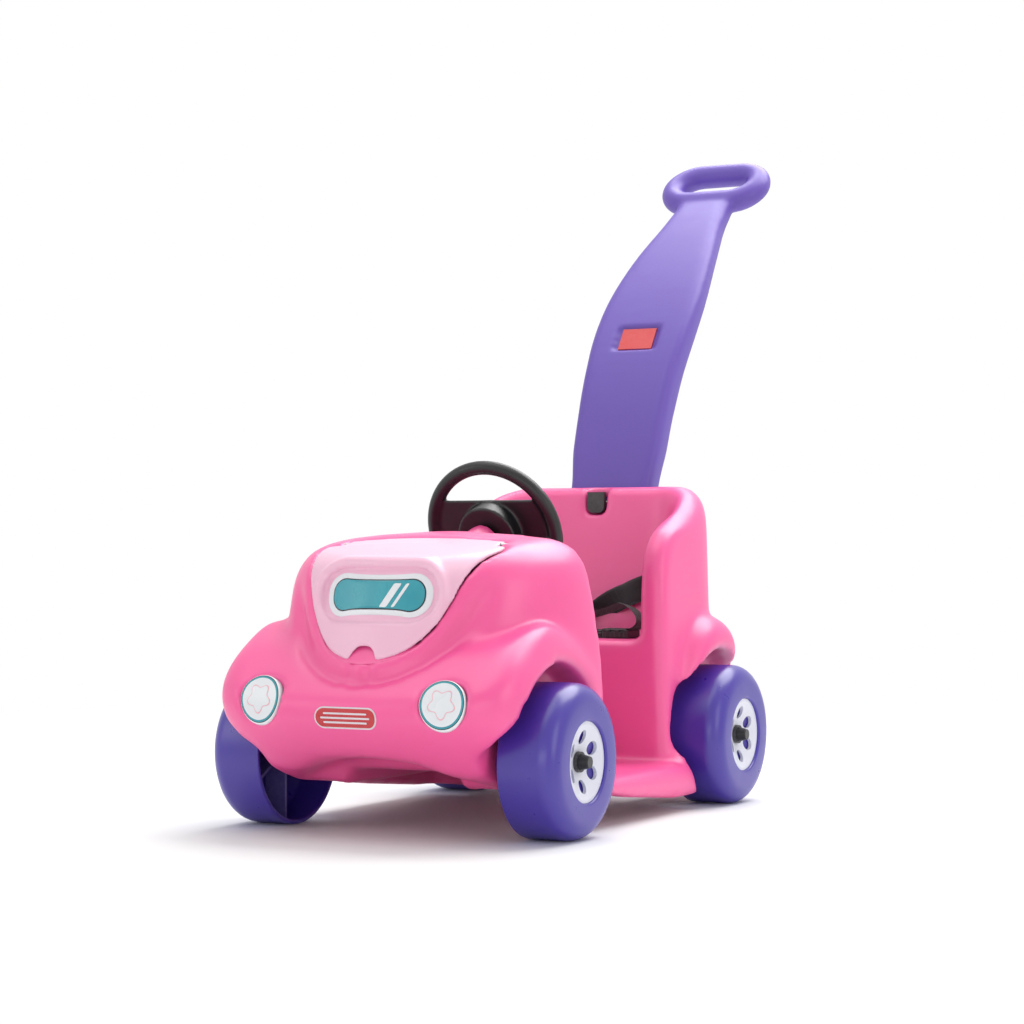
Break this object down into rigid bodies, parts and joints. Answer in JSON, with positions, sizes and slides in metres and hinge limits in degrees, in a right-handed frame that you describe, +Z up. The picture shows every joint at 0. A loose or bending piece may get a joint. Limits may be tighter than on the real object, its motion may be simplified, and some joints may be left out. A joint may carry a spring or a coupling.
{
  "type": "push car",
  "caption": "Ride-on push car with a rounded two-part moulded body, bucket seat, steering wheel, hinged hood lid, road wheels on axles and a tall folding push handle.",
  "frame": {"origin": "on the ground under the middle of the bounding box", "axes": "+Z up, -Y towards the front of the car, +X towards the car's left side"},
  "size_m": [0.4906, 1.1776, 0.9677],
  "materials": {
    "pink_shell": "satin blow-moulded",
    "pale_lid": "satin blow-moulded",
    "lamp_white": "gloss",
    "steel": "drawn bar",
    "purple_handle": "fine grain",
    "red_plate": "matte",
    "black_plastic": "fine grain",
    "webbing": "woven",
    "purple_wheel": "satin",
    "white_disc": "satin"
  },
  "bodies": {
    "chassis": {"body_shell": "pink_shell", "headlamp_disc_left": "lamp_white", "headlamp_disc_right": "lamp_white", "hood_hinge_pins": "steel", "latch_pin": "steel", "belt_strap_left": "webbing", "belt_strap_right": "webbing", "belt_anchor_screws": "black_plastic", "belt_buckle_socket": "black_plastic", "belt_buckle_tongue": "black_plastic", "axle_cap_front_left": "black_plastic", "axle_cap_front_right": "black_plastic", "axle_cap_rear_left": "black_plastic", "axle_cap_rear_right": "black_plastic", "front_axle": "steel", "rear_axle": "steel", "axle_bushings": "black_plastic", "axle_spacers": "black_plastic", "steering_bush": "black_plastic"},
    "front_left_wheel": {"wheel_front_left": "purple_wheel", "hub_disc_front_left": "white_disc"},
    "front_right_wheel": {"wheel_front_right": "purple_wheel", "hub_disc_front_right": "white_disc"},
    "rear_left_wheel": {"wheel_rear_left": "purple_wheel", "hub_disc_rear_left": "white_disc"},
    "rear_right_wheel": {"wheel_rear_right": "purple_wheel", "hub_disc_rear_right": "white_disc"},
    "steering": {"steering_wheel": "black_plastic", "steering_column": "steel", "steering_retainer": "steel"},
    "horn": {"horn_button": "black_plastic"},
    "hood": {"hood_lid": "pale_lid"},
    "handle": {"push_handle": "purple_handle", "handle_badge_plate": "red_plate"},
    "latch": {"handle_latch": "black_plastic"}
  },
  "joints": [
    {"name": "front_left_roll", "type": "hinge", "parent": "chassis", "child": "front_left_wheel", "pos_m": [0.2055, -0.4257, 0.095], "axis": [1, 0, 0], "continuous": true},
    {"name": "front_right_roll", "type": "hinge", "parent": "chassis", "child": "front_right_wheel", "pos_m": [-0.2055, -0.4257, 0.095], "axis": [1, 0, 0], "continuous": true},
    {"name": "rear_left_roll", "type": "hinge", "parent": "chassis", "child": "rear_left_wheel", "pos_m": [0.2055, 0.0683, 0.095], "axis": [1, 0, 0], "continuous": true},
    {"name": "rear_right_roll", "type": "hinge", "parent": "chassis", "child": "rear_right_wheel", "pos_m": [-0.2055, 0.0683, 0.095], "axis": [1, 0, 0], "continuous": true},
    {"name": "steering_turn", "type": "hinge", "parent": "chassis", "child": "steering", "pos_m": [0, -0.2097, 0.3736], "axis": [0, 0.9304, 0.3665], "continuous": true},
    {"name": "horn_press", "type": "slide", "parent": "steering", "child": "horn", "axis": [0, -0.9304, -0.3665], "range_m": [0, 0.004], "stiffness_N_per_m": 400},
    {"name": "hood_open", "type": "hinge", "parent": "chassis", "child": "hood", "pos_m": [0, -0.3967, 0.3555], "axis": [-1, 0, 0], "range_deg": [0, 65]},
    {"name": "handle_fold", "type": "hinge", "parent": "chassis", "child": "handle", "pos_m": [0, 0.0683, 0.095], "axis": [-1, 0, 0], "range_deg": [0, 248]},
    {"name": "latch_press", "type": "hinge", "parent": "chassis", "child": "latch", "pos_m": [0, 0.10981, 0.4168], "axis": [1, 0, 0], "range_deg": [0, 7], "stiffness_Nm_per_rad": 0.4}
  ]
}
